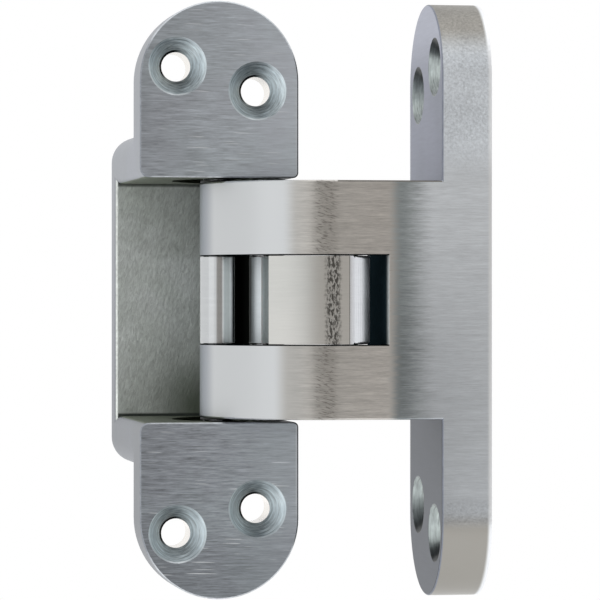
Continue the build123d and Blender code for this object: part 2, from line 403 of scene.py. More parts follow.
# Finishes. Each has a dictionary of settings, and a function that gives its colour, its relief as
# height, strength and depth, and its roughness where that changes over the surface
def makeFinish(name, look, build, *details):
    material = bpy.data.materials.new(name)
    material.use_nodes = True
    tree = material.node_tree
    colour, relief, *roughness = build(tree, look, *details)
    bump = addNode(tree, "ShaderNodeBump", dict(zip(("Height", "Strength", "Distance"), relief)))
    sockets = {
        "Base Color": colour,
        "Metallic": look.get("metallic", 1.0),
        "Roughness": roughness[0] if roughness else look["roughness"],
        "Specular IOR Level": look.get("specular", 0.5),
        "Normal": bump.outputs["Normal"],
    }
    fill(tree.nodes["Principled BSDF"], sockets)
    return material


def addGroup(tree, name, inputs):
    return addNode(tree, "ShaderNodeGroup", inputs, node_tree=bpy.data.node_groups[name]).outputs


def drifting(tree, look, patchScale=60.0):
    tints = {"First": look["first"], "Second": look["second"], "Patch Scale": patchScale}
    return addGroup(tree, "toneDrift", tints)["Colour"]


# Painted shade and light: the colour made darker or lighter by four corner levels, across and up the part
def withPaintedFalloff(tree, colour, levels, left, right, middle=40 * mm):
    sockets = {"Colour": colour, "Left": left, "Right": right, "Middle": middle, **dict(zip(corners, levels))}
    return addGroup(tree, "paintedFalloff", sockets)["Colour"]


def brightened(colour, tone, low, high):
    # The colour made darker or lighter by a tone from 0 to 1
    return dimmed(colour, fade(tone, 0.25, 0.75, low, high, "LINEAR"))


brushedPlate = dict(
    first=linear(175, 182, 188),
    second=linear(173, 178, 185),
    scratchColour=linear(238, 241, 243),
    grain={"Stroke Scale": (300, 5600, 5600), "Scratch Scale": (140, 5200, 5200), "Scratch Limit": 0.75},
    scratchShare=0.75,
    edgeHighlight=linear(214, 218, 222),  # painted highlight along the straight right edge
    edgeHighlightShare=0.45,
    # painted light and shade: lighter to the upper right, darker towards the lower left
    levels=(0.88, 1.36, 0.62, 0.93),
    lowEndShade=0.76,  # painted shade: the lower end is darker still
    smooth=(-4 * mm, 13 * mm),  # the strokes weaken towards the leaf's right side
    roughness=(0.34, 0.46),
)


def buildBrushedPlate(tree, look):
    colour = withPaintedFalloff(tree, drifting(tree, look), look["levels"], leafLow.x, leafHigh.x)
    grain = addGroup(tree, "strokeGrain", look["grain"])
    parts = objectParts(tree)
    colour = dimmed(colour, fade(parts["Z"], -38 * mm, -52 * mm, 1.0, look["lowEndShade"]))
    strength = fade(parts["X"], *look["smooth"], 1.0, 0.45)
    strength = times(strength, fade(parts["Z"], -20 * mm, 45 * mm, 1.25, 0.75))
    tone = plus(times(minus(grain["Tone"], 0.5), strength), 0.5)
    colour = brightened(colour, tone, 0.45, 1.55)
    colour = mixColour(times(grain["Scratch"], look["scratchShare"]), colour, look["scratchColour"])
    # Painted highlight along the straight right edge
    highlightBand = fade(parts["X"], leafHigh.x - 0.7 * mm, leafHigh.x - 0.35 * mm)
    straight = fade(calc("ABSOLUTE", parts["Z"]), 43 * mm, 37 * mm)
    colour = mixColour(times(highlightBand, straight, look["edgeHighlightShare"]), colour, look["edgeHighlight"])
    roughness = fade(grain["Tone"], 0.3, 0.7, *look["roughness"], "LINEAR")
    return colour, (grain["Height"], 0.2, 0.02 * mm), roughness


plateRim = dict(
    left=linear(150, 154, 160),
    middle=linear(206, 210, 214),
    right=linear(96, 100, 103),
    roughness=0.5,
)


def buildPlateRim(tree, look):
    # The broken edge round the frame leaf's face, with belt strokes, a painted highlight along its middle, painted
    # darker reflections towards its left end and a painted dark line at its right edge
    sideways = objectParts(tree)["X"]
    colour = mixColour(fade(sideways, leafLow.x + mm, leafLow.x + 3 * mm), look["left"], look["middle"])
    colour = mixColour(fade(sideways, leafHigh.x - 1.5 * mm, leafHigh.x - 0.3 * mm), colour, look["right"])
    grain = addGroup(tree, "strokeGrain", {"Stroke Scale": (1200, 1200, 1200)})
    return brightened(colour, grain["Tone"], 0.7, 1.3), (grain["Height"], 0.2, 0.02 * mm)


satinSide = dict(
    first=linear(160, 163, 170),
    second=linear(157, 160, 165),
    # painted shade: darker towards the lower end
    levels=(1.0, 1.0, 0.72, 0.72),
    roughness=0.45,
)


def buildSatinSide(tree, look):
    colour = withPaintedFalloff(tree, drifting(tree, look, 45.0), look["levels"], leafLow.x, leafHigh.x, 30 * mm)
    skin = addGroup(tree, "castSkin", {"Grain Scale": (1500, 1500, 1500), "Dimples": 0.3})
    return brightened(colour, skin["Tone"], 0.93, 1.07), (skin["Height"], 0.12, 0.02 * mm)


castChannel = dict(
    first=linear(211, 216, 214),
    second=linear(198, 204, 200),
    skin={"Grain Scale": (2300, 2300, 850), "Lean": -0.3, "Waviness": 0.8, "Dimples": 0.5},
    lowerRightTint=linear(128, 136, 124),  # a darker greenish tint towards the lower right
    side=linear(124, 130, 116),
    deepShade=linear(8, 9, 8),
    cornerShadow=linear(76, 82, 78),
    deepReach=9 * mm,  # the painted shade grows over this distance to the right of the middle
    sideShift=5 * mm,  # and starts this much later on the sides
    roughness=0.5,
)


def buildCastChannel(tree, look):
    skin = addGroup(tree, "castSkin", look["skin"])
    colour = brightened(drifting(tree, look, 90.0), skin["Tone"], 0.68, 1.3)
    parts = objectParts(tree)
    height = calc("ABSOLUTE", parts["Z"])
    onSide = fade(height, channelHalf - 0.15 * mm, channelHalf - 0.05 * mm)
    colour = mixColour(onSide, colour, look["side"])
    lowerRightTint = times(fade(parts["X"], -9 * mm, mm), fade(parts["Z"], -8 * mm, -21 * mm))
    colour = mixColour(times(lowerRightTint, minus(1.0, onSide)), colour, look["lowerRightTint"])
    start = fade(onSide, 0.0, 1.0, 0.0, look["sideShift"], "LINEAR")
    # Painted shade deep in the channel behind the fork
    colour = mixColour(fade(minus(parts["X"], start), 0.0, look["deepReach"]), colour, look["deepShade"])
    # Painted shade in the corners between the floor and the two sides, more of it in the lower one
    nearSide = fade(height, channelHalf - 0.75 * mm, channelHalf - 0.3 * mm)
    nearFloor = fade(parts["Y"], channelFloor - mm, channelFloor - 0.3 * mm)
    cornerShade = times(nearSide, nearFloor, fade(parts["Z"], -mm, mm, 1.0, 0.8))
    return mixColour(cornerShade, colour, look["cornerShadow"]), (skin["Height"], 0.5, 0.08 * mm)


turnedSeat = dict(
    first=linear(196, 206, 210),
    second=linear(184, 195, 200),
    edgeShadow=linear(28, 30, 32),
    rim=linear(240, 244, 246),
    roughness=0.36,
    pitch=0.2 * mm,
    holeRadius=2.75 * mm,
    outerRadius=5.5 * mm,
    edgeShadowWidth=0.32 * mm,
)
sunkSeat = dict(
    first=linear(176, 184, 182),
    second=linear(158, 165, 164),
    end=linear(48, 50, 49),
    roughness=0.36,
    pitch=0.2 * mm,
)


def buildTurnedSeat(tree, look, holeA, holeB, across):
    inputs = {"Centre A": holeA, "Centre B": holeB, "Across": across, "Pitch": look["pitch"]}
    rings = addGroup(tree, "toolRings", inputs)
    # The fans paint the light and dark of the rings' sheen
    tone = plus(rings["Arcs"], times(rings["Fans"], 0.16))
    colour = brightened(drifting(tree, look, 300.0), tone, 0.4, 1.42)
    if "end" in look:
        # The far end of each seat on the door leaf turns away from the light
        outward = times(parted(rings["Direction"])["Z"], calc("SIGN", objectParts(tree)["Z"]))
        colour = mixColour(fade(outward, 0.35, 0.95, 0.0, 0.92), colour, look["end"])
        return colour, (rings["Arcs"], 0.3, 0.04 * mm)
    # Painted shadow along the hole's edge on its upper left side, and a painted highlight on the outer rim
    # opposite
    towards = vectorCalc("DOT_PRODUCT", rings["Direction"], (-0.8, -0.8, 0.45))
    edge = calc("ABSOLUTE", minus(rings["Reach"], look["holeRadius"] + look["edgeShadowWidth"] / 2))
    edgeShadow = fade(edge, look["edgeShadowWidth"] * 0.5, look["edgeShadowWidth"], 1.0, 0.0)
    colour = mixColour(times(edgeShadow, fade(towards, 0.0, 0.6)), colour, look["edgeShadow"])
    beneath = vectorCalc("DOT_PRODUCT", rings["Direction"], (-0.6, -0.6, -0.8))
    rim = fade(rings["Reach"], look["outerRadius"] - 0.35 * mm, look["outerRadius"] - 0.2 * mm)
    rim = times(rim, fade(beneath, 0.3, 0.8, 0.1, 0.6))
    return mixColour(rim, colour, look["rim"]), (rings["Arcs"], 0.35, 0.04 * mm)


forkFace = dict(
    bright=linear(200, 202, 203),
    leftEdgeShade=linear(146, 151, 158),
    ground=linear(182, 180, 176),
    groundMiddle=linear(196, 193, 188),
    groundRight=linear(199, 195, 190),
    darkReflection=linear(158, 165, 167),
    leafSide=linear(216, 221, 226),
    # painted shade: the leaf's side is darker towards the lower end
    leafShadeLevels=(1.16, 1.15, 0.66, 0.87),
    ends=linear(162, 159, 153),
    marks=linear(112, 108, 103),
    polished=linear(244, 246, 248),  # painted highlight along the leaf's rounded back edge
    lowerShadeLevels=(0.9, 0.98),  # painted shade: the lower finger is darker, more so at the bend
    lowerShadeDark=0.7,
    bendEnd=(8.6 * mm, 10.2 * mm),  # lower and upper
    groundEnd=31.0 * mm,
    darkEnd=39.0 * mm,
    skin={"Grain Scale": (2100, 2100, 2100), "Waviness": 0.3, "Dimples": 0.9},
    band={"Band Start": 15.4 * mm, "Band End": 20.6 * mm, "Mark Scale": (750, 0, 4400), "Slant": 0.25},
    roughness=(0.33, 0.45),  # ground and cast
)


def buildForkFace(tree, look):
    parts = objectParts(tree)
    sideways = parts["X"]
    height = calc("ABSOLUTE", parts["Z"])
    grain = addGroup(tree, "strokeGrain", {"Stroke Scale": (330, 330, 5200)})
    skin = addGroup(tree, "castSkin", look["skin"])
    marks = addGroup(tree, "chatterMarks", look["band"])
    edge = plus(sideways, times(minus(grain["Tone"], 0.5), 5.0 * mm))
    bend = fade(minus(sideways, fade(parts["Z"], -mm, mm, *look["bendEnd"])), 0.0, 2.9 * mm)
    beyond = fade(edge, look["groundEnd"] - 1.2 * mm, look["groundEnd"] + 1.2 * mm)
    leaf = fade(edge, look["groundEnd"] + 1.0 * mm, look["darkEnd"])
    # Above the fork the leaf's side is as cast, below it the belt has gone further
    cast = fade(parts["Z"], 20 * mm, 32 * mm)
    low = fade(parts["Z"], -36 * mm, -39 * mm)
    patch = times(low, fade(parts["Z"], -43 * mm, -41 * mm))
    onLeaf = calc("MAXIMUM", leaf, fade(height, 22.3 * mm, 22.8 * mm))
    tips = calc("MAXIMUM", fade(parts["Z"], 44 * mm, 51 * mm), fade(parts["Z"], -39 * mm, -43 * mm))
    lower = fade(parts["Z"], 12 * mm, -12 * mm)
    colour = mixColour(fade(sideways, 12 * mm, 15.5 * mm), look["ground"], look["groundMiddle"])
    colour = mixColour(fade(sideways, 17 * mm, 28 * mm), colour, look["groundRight"])
    # Painted highlight on the bend, where it turns to the left, with painted shade at its grazing left edge
    leftEdgeShade = fade(sideways, doorLow.x + 0.1 * mm, doorLow.x + 1.7 * mm)
    colour = mixColour(bend, mixColour(leftEdgeShade, look["leftEdgeShade"], look["bright"]), colour)
    # Painted darker reflection beyond the ground band
    colour = mixColour(beyond, colour, look["darkReflection"])
    # Painted shade on the lower finger, darker still towards the leaf
    lowerShadeLevel = fade(sideways, 13 * mm, 26 * mm, *look["lowerShadeLevels"])
    lowerShadeLevel = fade(beyond, 0.0, 1.0, lowerShadeLevel, look["lowerShadeDark"], "LINEAR")
    colour = mixColour(times(lower, bend), colour, dimmed(colour, lowerShadeLevel))
    # The leaf's side with painted shade towards the lower end
    leafSide = withPaintedFalloff(tree, look["leafSide"], look["leafShadeLevels"], look["groundEnd"], doorHigh.x, 25 * mm)
    colour = mixColour(onLeaf, colour, leafSide)
    colour = mixColour(tips, colour, look["ends"])
    strokes = times(minus(1.0, cast), fade(sideways, 9 * mm, 17 * mm), minus(1.0, low))
    contrast = times(strokes, fade(onLeaf, 0.0, 1.0, 1.0, 0.55))
    colour = mixColour(contrast, colour, brightened(colour, grain["Tone"], 0.66, 1.36))
    rough = calc("MAXIMUM", cast, times(patch, 0.7))
    colour = mixColour(rough, colour, brightened(colour, skin["Tone"], 0.6, 1.12))
    colour = mixColour(times(marks["Band"], 0.16), colour, look["marks"])
    colour = mixColour(times(marks["Mask"], 0.65), colour, look["marks"])
    # Painted highlight along the leaf's rounded back edge
    rim = fade(sideways, doorHigh.x - mm, doorHigh.x - 0.25 * mm)
    colour = mixColour(rim, colour, look["polished"])
    lift = plus(times(skin["Height"], rough), times(grain["Height"], strokes, 0.25))
    return colour, (lift, 0.6, 0.06 * mm), fade(cast, 0, 1, *look["roughness"])


leafFace = dict(
    first=linear(138, 141, 156),
    second=linear(130, 134, 148),
    # low is a painted shade towards the lower end, top a painted light near the top
    low=linear(84, 88, 96),
    top=linear(172, 175, 188),
    roughness=0.4,
)


def buildLeafFace(tree, look):
    rise = objectParts(tree)["Z"]
    # Painted shade towards the lower end and painted light near the top
    colour = mixColour(fade(rise, 25 * mm, -25 * mm), drifting(tree, look, 50.0), look["low"])
    colour = mixColour(fade(rise, 40 * mm, 52 * mm), colour, look["top"])
    grain = addGroup(tree, "strokeGrain", {"Stroke Scale": (3000, 180, 3000)})
    return brightened(colour, grain["Tone"], 0.9, 1.1), (grain["Height"], 0.12, 0.02 * mm)


windowWall = dict(
    deepShade=linear(5, 10, 12),
    front=linear(12, 18, 20),
    frontDepth=2 * mm,
    roughness=0.6,
    metallic=0.0,
    specular=0.0,
)
rootWall = dict(windowWall, deepShade=linear(34, 48, 54), front=linear(205, 210, 208), frontDepth=4.3 * mm)


def buildShadedWall(tree, look):
    # Walls of the fork's window and the link's ends, painted near black as shade away from the front, lighter
    # towards the front and brightly lit at the root wall's front edge
    depth = minus(objectParts(tree)["Y"], doorLow.y)
    ahead = fade(depth, 0.2 * mm, look["frontDepth"], 1.0, 0.0)
    skin = addGroup(tree, "castSkin", {"Grain Scale": (1500, 1500, 900)})
    colour = mixColour(calc("POWER", ahead, 2.0), look["deepShade"], look["front"])
    return brightened(colour, skin["Tone"], 0.7, 1.3), (skin["Height"], 0.2, 0.04 * mm)


linkFace = dict(
    first=linear(204, 203, 199),
    second=linear(198, 198, 194),
    right=linear(212, 210, 205),
    marks=linear(64, 62, 58),
    band={
        "Band Start": 17.8 * mm,
        "Band End": 21.1 * mm,
        "Mark Scale": (2500, 0, 1000),
        "Slant": 0.3,
        "Threshold": 0.4,
        "Softness": 0.16,
    },
    creaseWidth=0.12 * mm,
    roughness=0.3,
)


def buildLinkFace(tree, look):
    grain = addGroup(tree, "strokeGrain", {"Stroke Scale": (260, 260, 5200)})
    marks = addGroup(tree, "chatterMarks", look["band"])
    sideways = objectParts(tree)["X"]
    colour = mixColour(fade(sideways, 14 * mm, 20 * mm), drifting(tree, look), look["right"])
    colour = brightened(colour, grain["Tone"], 0.95, 1.05)
    colour = mixColour(times(marks["Band"], 0.22), colour, look["marks"])
    colour = mixColour(times(marks["Mask"], 0.85), colour, look["marks"])
    # Painted dark line at the crease where the eye's turning begins
    fromCrease = calc("ABSOLUTE", minus(sideways, doorEye.x))
    crease = fade(fromCrease, look["creaseWidth"] * 0.5, look["creaseWidth"] * 1.5, 0.8, 0.0)
    return mixColour(crease, colour, look["marks"]), (times(marks["Mask"], -1.0), 0.4, 0.05 * mm)


# Plain turned, ground and moulded finishes: a colour, a roughness, and how far the strokes show
plainMetals = {
    "brightSteel": dict(colour=linear(224, 225, 226), roughness=0.22, strokes=(200, 200, 3000), contrast=0.06),
    "sleeveSteel": dict(colour=linear(198, 200, 201), roughness=0.16, strokes=(200, 200, 3000), contrast=0.05),
    "eyeSteel": dict(colour=linear(226, 228, 232), roughness=0.36, strokes=(500, 500, 2500), contrast=0.05),
    "barrelSteel": dict(
        colour=linear(215, 221, 224), roughness=0.48, strokes=(500, 500, 2500), contrast=0.06,
        shade=(frameEye.x - 3.25 * mm, frameEye.x - 2.9 * mm, 0.02, 1.0),  # painted shade on its left side, where it faces dark surroundings
    ),
    "flankSteel": dict(
        colour=linear(228, 236, 236), roughness=0.4, strokes=(500, 500, 2500), contrast=0.08,
        shade=(frameEye.x - 1.3 * mm, frameEye.x - 0.9 * mm, 1.28, 0.78),  # painted light at its left, painted shade in the hollow
    ),
    "castInside": dict(colour=linear(132, 136, 138), roughness=0.5, strokes=(900, 900, 900), contrast=0.2),
    "bronze": dict(colour=linear(120, 96, 66), roughness=0.38, strokes=(900, 900, 900), contrast=0.15),
    # the lip's light colour is a painted highlight on the rounded lip
    "wornLip": dict(colour=linear(222, 226, 222), roughness=0.5, strokes=(1500, 1500, 900), contrast=0.35),
    "holeWall": dict(colour=linear(243, 238, 230), roughness=0.2, strokes=(300, 900, 300), contrast=0.04),
    "leafRim": dict(colour=linear(142, 146, 156), roughness=0.5, strokes=(900, 900, 900), contrast=0.2),
    # the rims' darker colour paints a dark line along the fork's outer rims
    "forkRim": dict(colour=linear(118, 115, 110), roughness=0.5, strokes=(900, 900, 900), contrast=0.2),
}
glide = dict(colour=linear(40, 42, 44), roughness=0.4, metallic=0.0)


def buildPlainMetal(tree, look):
    grain = addGroup(tree, "strokeGrain", {"Stroke Scale": look["strokes"]})
    colour = brightened(look["colour"], grain["Tone"], 1 - look["contrast"], 1 + look["contrast"])
    if "shade" in look:
        colour = dimmed(colour, fade(objectParts(tree)["X"], *look["shade"]))
    return colour, (grain["Height"], 0.05, 0.01 * mm)


def buildGlide(tree, look):
    skin = addGroup(tree, "castSkin", {"Grain Scale": (2000, 2000, 2000)})
    return brightened(look["colour"], skin["Tone"], 0.85, 1.15), (skin["Height"], 0.1, 0.02 * mm)


def holeCentre(name):
    # Middle of a pair's upper hole, from the mount's place and the pair's spacing
    mount = next(m for m in frame["record"]["mounts"] if m["name"] == name)
    return Vector(mount["pos_m"]) + Vector((0, 0, mount["dims"]["spacing_y_mm"] * mm / 2))


frameHoles = [holeCentre(name) for name in ("frame_outer_screws", "frame_inner_screws")]
doorHoles = [holeCentre(name) for name in ("door_outer_screws", "door_inner_screws")]
recipes = {
    "brushedPlate": (brushedPlate, buildBrushedPlate),
    "plateRim": (plateRim, buildPlateRim),
    "satinSide": (satinSide, buildSatinSide),
    "castChannel": (castChannel, buildCastChannel),
    "frameSeat": (turnedSeat, buildTurnedSeat, *frameHoles, (1, 0, 1)),
    "doorSeat": (sunkSeat, buildTurnedSeat, *doorHoles, (0, 1, 1)),
    "forkFace": (forkFace, buildForkFace),
    "leafFace": (leafFace, buildLeafFace),
    "windowWall": (windowWall, buildShadedWall),
    "rootWall": (rootWall, buildShadedWall),
    "linkFace": (linkFace, buildLinkFace),
    "glide": (glide, buildGlide),
    **{name: (look, buildPlainMetal) for name, look in plainMetals.items()},
}
finishes = {name: makeFinish(name, *recipe) for name, recipe in recipes.items()}
print("stage: finishes")


# Castings and link, from welded copies of the frame's own meshes with their edges broken
breaking = dict(
    weld=0.01 * mm,
    flat=radians(0.6),  # flatter edges are taken out
    sharp=radians(25),  # sharper edges are broken
    openShare=1.7,  # how much wider the open edges are
    endDepth=0.001 * mm,  # how far below its top a piece's end face may lie
    segments=3,
    roundSegments=5,
    evenness=90,
)


def edgeMiddle(edge):
    return (edge.verts[0].co + edge.verts[1].co) / 2


def brokenEdges(
    name, nodeName, edgeWidth, finishNames, chooseFinish,
    widerEdges=None, openEdge=None, stand=0.0, clamp=False,
):
    # widerEdges gives lists of edges by the width that they are rounded to first, openEdge tells
    # which of the others are wider than edgeWidth, stand moves the end faces outwards, and clamp
    # keeps the new faces from crossing where short edges meet
    mesh = frame["nodes"][nodeName].data.copy()
    mesh.materials.clear()
    shape = bmesh.new()
    shape.from_mesh(mesh)
    bmesh.ops.remove_doubles(shape, verts=shape.verts, dist=breaking["weld"])
    bmesh.ops.dissolve_limit(shape, angle_limit=breaking["flat"], verts=shape.verts, edges=shape.edges)
    shape.normal_update()
    top = max(vert.co.z for vert in shape.verts)
    for vert in shape.verts:
        if stand and abs(vert.co.z) > top - breaking["endDepth"]:
            vert.co.z += stand if vert.co.z > 0 else -stand
    rounding = dict(segments=breaking["roundSegments"], profile=0.5, affect="EDGES")
    for width, edges in (widerEdges(shape) if widerEdges else {}).items():
        bmesh.ops.bevel(shape, geom=edges, offset=width, **rounding)
    shape.normal_update()
    weights = shape.edges.layers.float.new("bevel_weight_edge")
    for edge in shape.edges:
        if len(edge.link_faces) == 2 and edge.calc_face_angle() > breaking["sharp"]:
            isOpen = openEdge and openEdge(edgeMiddle(edge))
            edge[weights] = 1.0 if isOpen else 1 / breaking["openShare"]
    for face in shape.faces:
        face.smooth = True
    shape.to_mesh(mesh)
    shape.free()
    for finishName in finishNames:
        mesh.materials.append(finishes[finishName])
    rough = addObject(name + "Rough", mesh)
    bevel = rough.modifiers.new("brokenEdges", "BEVEL")
    bevel.width = edgeWidth * breaking["openShare"]
    bevel.segments = breaking["segments"]
    bevel.limit_method = "WEIGHT"
    bevel.use_clamp_overlap = clamp
    evenNormals = rough.modifiers.new("evenNormals", "WEIGHTED_NORMAL")
    evenNormals.weight = breaking["evenness"]
    finished = frozen(rough)
    for polygon in finished.polygons:
        polygon.material_index = finishNames.index(chooseFinish(polygon.center, polygon.normal))
    return addObject(name, finished)


def frozen(rough):
    # The mesh that an object's modifiers make of it, in place of the object
    bpy.context.view_layer.update()
    mesh = bpy.data.meshes.new_from_object(rough.evaluated_get(bpy.context.evaluated_depsgraph_get()))
    bpy.data.objects.remove(rough)
    return mesh


def settle(piece, nodeNames, body):
    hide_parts(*nodeNames)
    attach(piece, body)


def nearHole(centre, holes, radius, across):
    # Whether a face's middle lies within a radius of any hole's axis
    spots = [(getattr(centre, across) - getattr(hole, across), abs(centre.z) - hole.z) for hole in holes]
    return min(u * u + v * v for u, v in spots) < radius * radius


frameBody = dict(
    edge=0.1 * mm,
    holeRadius=2.8 * mm,
    holeDepth=9.4 * mm,
    seatRadius=5.6 * mm,
    seatDepth=5 * mm,
    rimDepth=0.45 * mm,
    wall=2.7 * mm,
    lipWidth=0.75 * mm,
    grooveDepth=5.4 * mm,
    grooveStart=2 * mm,
    grooveEnd=38 * mm,
    slack=0.15 * mm,
)
flatFace = 0.97  # how squarely a face looks along an axis to count as flat


def frameFinish(centre, normal):
    body = frameBody
    if nearHole(centre, frameHoles, body["holeRadius"], "x") and centre.y < body["holeDepth"]:
        return "holeWall"
    inSeat = nearHole(centre, frameHoles, body["seatRadius"], "x") and centre.y < body["seatDepth"]
    if inSeat and abs(normal.y) < flatFace:
        return "frameSeat"
    if normal.y < -flatFace and centre.y < body["slack"]:
        return "brushedPlate"
    if normal.y < -0.1 and centre.y < body["rimDepth"]:
        return "plateRim"
    beyondFloor = centre.y > channelFloor + body["slack"]
    inChannel = abs(centre.z) < channelHalf + body["slack"] and centre.x > leafLow.x + body["slack"]
    onCorner = centre.y > channelFloor + 0.01 * mm and centre.x < leafLow.x + body["lipWidth"]
    if inChannel and onCorner and normal.y < -0.05:
        return "wornLip"
    if inChannel and not beyondFloor and normal.x < 0.5 and centre.y > mm:
        if abs(normal.z) > 0.9 or centre.x < leafHigh.x - body["wall"] + body["slack"]:
            return "castChannel"
    grooved = channelHalf < abs(centre.z) < channelHalf + body["grooveDepth"]
    inDepth = body["grooveStart"] < centre.y < body["grooveEnd"]
    if grooved and inDepth and leafLow.x + mm < centre.x < leafHigh.x - mm:
        return "castChannel"
    return "satinSide"


framePiece = brokenEdges(
    "frameCasting", "frame_body", frameBody["edge"],
    ["satinSide", "brushedPlate", "plateRim", "castChannel", "wornLip", "frameSeat", "holeWall"], frameFinish,
    clamp=True,
)
settle(framePiece, ["frame_body"], "frame")
print("stage: frame casting")


doorBody = dict(
    edge=0.09 * mm,
    holeRadius=2.8 * mm,
    seatRadius=5.6 * mm,
    forkHalf=22.2 * mm,
    windowHalf=8.35 * mm,
    windowStart=-mm,
    windowEnd=30.1 * mm,
    windowSlack=0.2 * mm,
    leafThickness=9.5 * mm,
    leafSlack=0.1 * mm,
    rim=0.4 * mm,
    slack=0.3 * mm,
    hair=0.02 * mm,
)


def doorFinish(centre, normal):
    body = doorBody
    leafStart = doorHigh.x - body["leafThickness"]
    behindFace = centre.x > leafStart + body["hair"]
    if behindFace and nearHole(centre, doorHoles, body["holeRadius"], "y"):
        return "holeWall"
    if behindFace and nearHole(centre, doorHoles, body["seatRadius"], "y") and abs(normal.x) < flatFace:
        return "doorSeat"
    onFace = centre.x > leafStart - body["leafSlack"]
    if onFace and normal.x < -0.75:
        return "leafFace"
    if onFace and normal.x < -0.2 and centre.x < leafStart + body["slack"]:
        return "leafRim"
    atWindow = abs(abs(centre.z) - body["windowHalf"]) < body["windowSlack"] and centre.x < body["windowEnd"]
    if atWindow and abs(normal.z) > 0.2:
        return "windowWall"
    if normal.x > 0.9 and centre.x > doorHigh.x - 0.05 * mm:
        return "satinSide"
    if centre.x > leafStart:
        return "forkFace"
    onBend = centre.x < bendCentre.x and (centre.xy - bendCentre).length > bendRadius - body["slack"]
    onFront = centre.y < doorLow.y + body["slack"]
    if onBend or onFront:
        onEnd = centre.z > body["forkHalf"] - body["rim"] and normal.z > 0.2
        return "forkRim" if onFront and onEnd and centre.x > bendCentre.x else "forkFace"
    if abs(centre.z) < body["windowHalf"] + body["hair"] and centre.x > body["windowStart"]:
        return "windowWall" if abs(normal.z) > 0.5 else "rootWall"
    return "satinSide" if abs(centre.z) > body["forkHalf"] - body["slack"] else "castInside"


def windowEdge(middle):
    # The window's upper and lower edges in the fork's outer face
    onBend = (middle.xy - bendCentre).length > bendRadius - 0.05 * mm and middle.x < bendCentre.x
    outside = onBend or middle.y < doorLow.y + 0.05 * mm
    return outside and abs(abs(middle.z) - doorBody["windowHalf"]) < doorBody["hair"]


doorFinishes = ["forkFace", "forkRim", "leafFace", "leafRim", "doorSeat"]
doorFinishes += ["holeWall", "satinSide", "castInside", "windowWall", "rootWall"]
doorPiece = brokenEdges(
    "doorCasting", "door_leaf", doorBody["edge"], doorFinishes, doorFinish, openEdge=windowEdge
)
settle(doorPiece, ["door_leaf"], "door")
print("stage: door casting")


linkBody = dict(
    edge=0.08 * mm,
    eyeEnd=0.55 * mm,
    eyeRadius=4.5 * mm,
    barrelRadius=3.3 * mm,
    stand=0.17 * mm,  # the real ends run closer to the window's walls than the solid's
    slack=0.3 * mm,
    hair=0.02 * mm,
    roundFront=0.5 * mm,
)


def linkFinish(centre, normal):
    onEye = centre.x > doorEye.x + mm
    if abs(normal.z) > (0.93 if onEye else 0.35):
        return "windowWall"
    body = linkBody
    onBend = (centre.xy - bendCentre).length > bendRadius - body["slack"]
    onFront = centre.y < doorLow.y + body["slack"]
    if onBend and centre.x < doorEye.x + body["hair"] or onFront and centre.x < doorEye.x:
        return "linkFace"
    if (centre - doorEye).xy.length < body["eyeRadius"] + body["slack"] and centre.x > doorEye.x:
        return "eyeSteel"
    fromEye = (centre - frameEye).xy
    if fromEye.length < body["barrelRadius"] + body["slack"] and fromEye.normalized().dot(normal.xy) > flatFace:
        return "barrelSteel"
    return "flankSteel" if centre.x < frameEye.x + mm else "castInside"


def linkEnds(shape):
    # The eye's ends are well rounded in front, where they turn away from the outer face
    top = max(vert.co.z for vert in shape.verts)
    found = []
    for edge in shape.edges:
        middle = edgeMiddle(edge)
        level = min(abs(vert.co.z) for vert in edge.verts) > top - breaking["endDepth"]
        outside = abs((middle - doorEye).xy.length - linkBody["eyeRadius"]) < 0.1 * mm
        inFront = middle.x > doorEye.x + mm and middle.y < doorEye.y + linkBody["roundFront"]
        if level and outside and inFront:
            found.append(edge)
    return {linkBody["eyeEnd"]: found}


linkPiece = brokenEdges(
    "linkBody", "centre_link", linkBody["edge"],
    ["linkFace", "eyeSteel", "barrelSteel", "flankSteel", "castInside", "windowWall"], linkFinish, linkEnds,
    stand=linkBody["stand"],
)
settle(linkPiece, ["centre_link"], "link")
print("stage: link")


# Turned parts: Geometry Nodes put each ring on its axis, and its pair below the middle
def geometryTree(name, inputs):
    tree = bpy.data.node_groups.new(name, "GeometryNodeTree")
    for label, kind in inputs.items():
        tree.interface.new_socket(label, in_out="INPUT", socket_type="NodeSocket" + kind)
    tree.interface.new_socket("Geometry", in_out="OUTPUT", socket_type="NodeSocketGeometry")
    return tree, tree.nodes.new("NodeGroupInput").outputs, tree.nodes.new("NodeGroupOutput")


ringInputs = {
    "Axis": "Vector",
    "Lowest": "Float",
    "Step": "Float",
    "Count": "Int",
    "Outer Radius": "Float",
    "Bore Radius": "Float",
    "Length": "Float",
    "Rounding": "Float",
}
# A flange's own inputs, by the ring's input that each stands for
flangeInputs = {
    "Outer Radius": "Flange Radius",
    "Bore Radius": "Flange Bore",
    "Length": "Flange Thickness",
    "Lowest": "Flange Lowest",
    "Step": "Flange Step",
}


